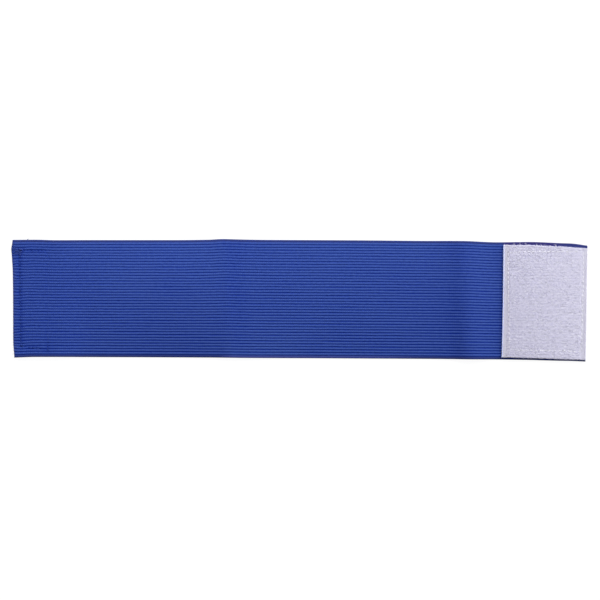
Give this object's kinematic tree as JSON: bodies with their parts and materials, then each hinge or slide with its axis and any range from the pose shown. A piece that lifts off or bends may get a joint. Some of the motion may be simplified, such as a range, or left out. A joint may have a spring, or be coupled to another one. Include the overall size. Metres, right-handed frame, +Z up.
{
  "type": "armband",
  "caption": "Flat ribbed elastic armband laid open, with a wide loop patch on top of one end and a narrow hook patch under the other.",
  "frame": {"origin": "on the surface that the armband lies on, under the middle of its bounding box", "axes": "+X along the strip towards the loop patch, +Y across the strip, +Z up from the surface"},
  "size_m": [0.3418, 0.073, 0.0049],
  "materials": {
    "elastic_webbing": "royal blue ribbed knitted elastic, matt with a faint sheen",
    "loop_tape": "white pile with a lavender cast, matt and soft",
    "hook_tape": "white woven tape with rows of small hooks, slightly shiny"
  },
  "bodies": {
    "root": {"band": "elastic_webbing", "loop_patch": "loop_tape", "hook_patch": "hook_tape"}
  },
  "joints": []
}
